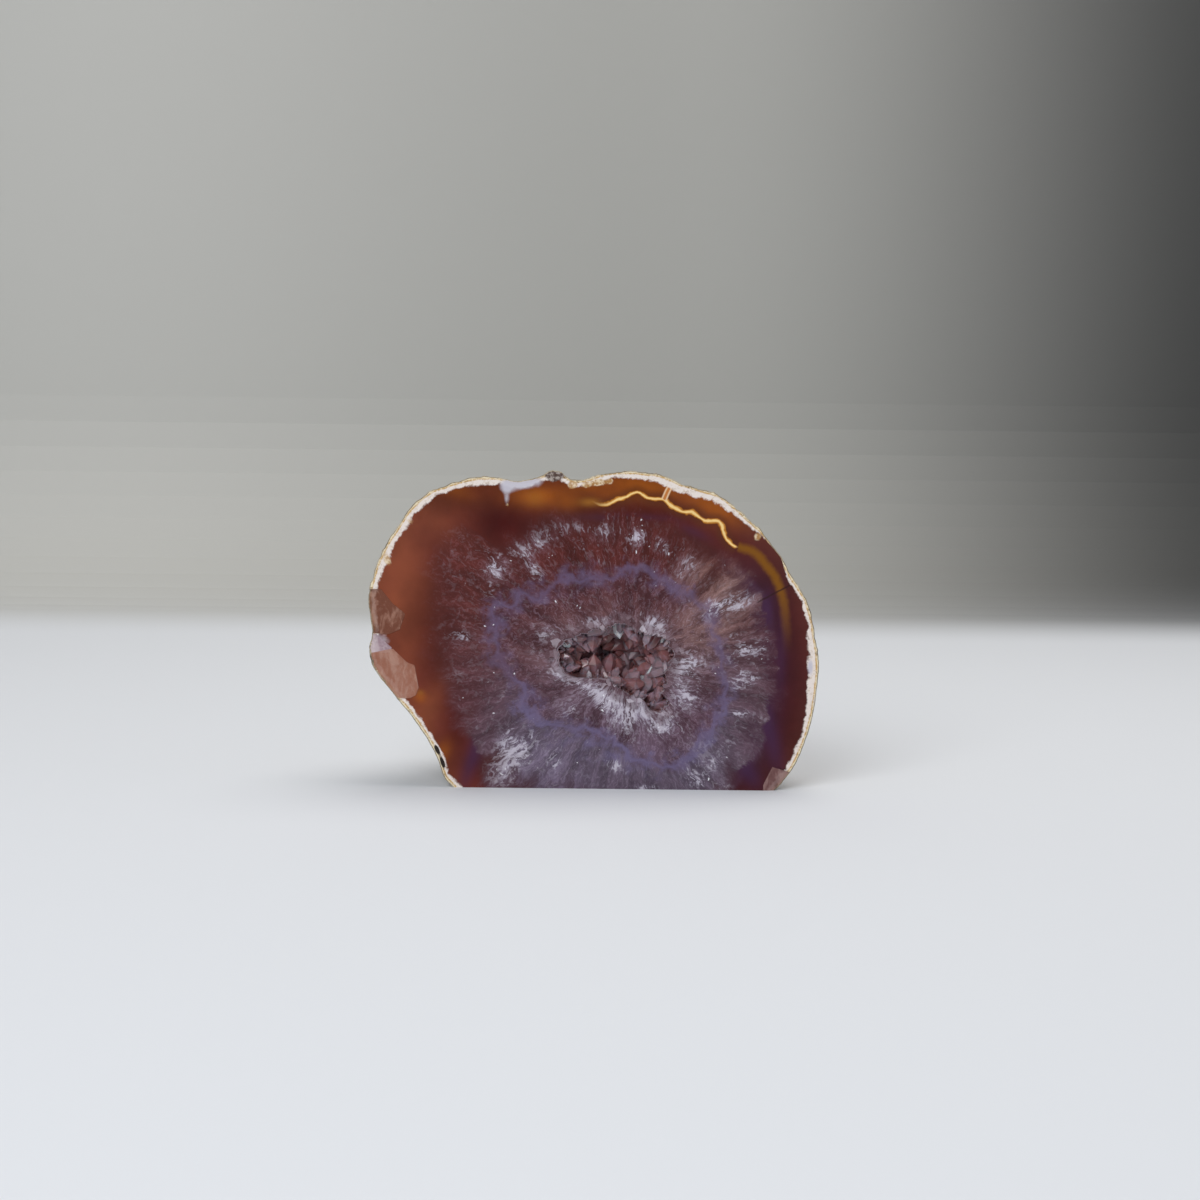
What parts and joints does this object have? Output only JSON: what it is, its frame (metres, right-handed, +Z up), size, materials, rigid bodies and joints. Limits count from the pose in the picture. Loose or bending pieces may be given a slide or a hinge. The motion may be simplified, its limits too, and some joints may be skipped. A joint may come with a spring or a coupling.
{
  "type": "agate geode",
  "caption": "Natural agate geode end piece: flat polished front face with a quartz-lined hollow, a knobbly weathered back and a sawn flat foot to stand on",
  "frame": {"origin": "middle of the bounding box in X and Y, on the sawn foot", "axes": "+X to the viewer's right along the polished face, -Y out of the polished face, +Z up; +Y runs to the rear pole of the nodule"},
  "size_m": [0.0652, 0.029, 0.0463],
  "materials": {
    "agate": "gloss",
    "quartz": "gloss"
  },
  "bodies": {
    "root": {"agate_stone": "agate", "quartz_crust": "quartz"}
  },
  "joints": []
}
